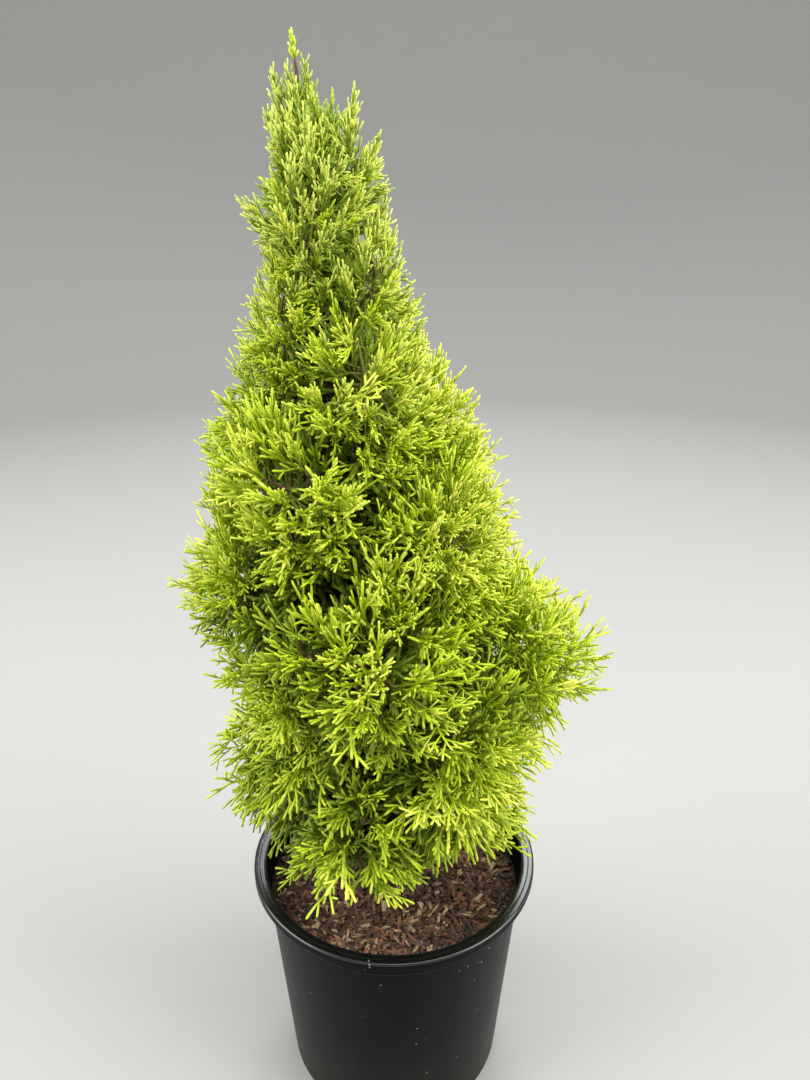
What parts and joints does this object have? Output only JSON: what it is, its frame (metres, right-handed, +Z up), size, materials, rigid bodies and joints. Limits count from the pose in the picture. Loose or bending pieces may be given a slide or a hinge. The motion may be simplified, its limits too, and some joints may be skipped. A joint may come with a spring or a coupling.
{
  "type": "potted monterey cypress",
  "caption": "Young golden conifer grown as a dense, slightly leaning cone of feathery sprays, in a round black nursery pot.",
  "frame": {"origin": "centre of the pot's flat underside, on the surface that the pot stands on", "axes": "+Z up; +X to the right of the picture, and the leader leans to -X; +Y away from the picture's camera, which looks along +Y"},
  "size_m": [0.3801, 0.346, 0.9586],
  "materials": {
    "pot_plastic": "satin",
    "compost": "matte",
    "bark": "matte",
    "foliage": "matte"
  },
  "bodies": {
    "root": {"pot": "pot_plastic", "soil": "compost", "trunk": "bark", "bough_01": "bark", "bough_02": "bark", "bough_03": "bark", "bough_04": "bark", "bough_05": "bark", "bough_06": "bark", "bough_07": "bark", "bough_08": "bark", "bough_09": "bark", "bough_10": "bark", "bough_11": "bark", "bough_12": "bark", "bough_13": "bark", "bough_14": "bark", "bough_15": "bark", "bough_16": "bark", "bough_17": "bark", "bough_18": "bark", "bough_19": "bark", "bough_20": "bark", "bough_21": "bark", "bough_22": "bark", "bough_23": "bark", "bough_24": "bark", "bough_25": "bark", "bough_26": "bark", "foliage_01": "foliage", "foliage_02": "foliage", "foliage_03": "foliage", "foliage_04": "foliage", "foliage_05": "foliage", "foliage_06": "foliage", "foliage_07": "foliage", "foliage_08": "foliage", "foliage_09": "foliage", "foliage_10": "foliage", "foliage_11": "foliage", "foliage_12": "foliage", "foliage_13": "foliage", "foliage_14": "foliage", "foliage_15": "foliage", "foliage_16": "foliage", "foliage_17": "foliage", "foliage_18": "foliage", "foliage_19": "foliage", "foliage_20": "foliage", "foliage_21": "foliage", "foliage_22": "foliage", "foliage_23": "foliage", "foliage_24": "foliage", "foliage_25": "foliage", "foliage_26": "foliage", "foliage_leader": "foliage"}
  },
  "joints": []
}
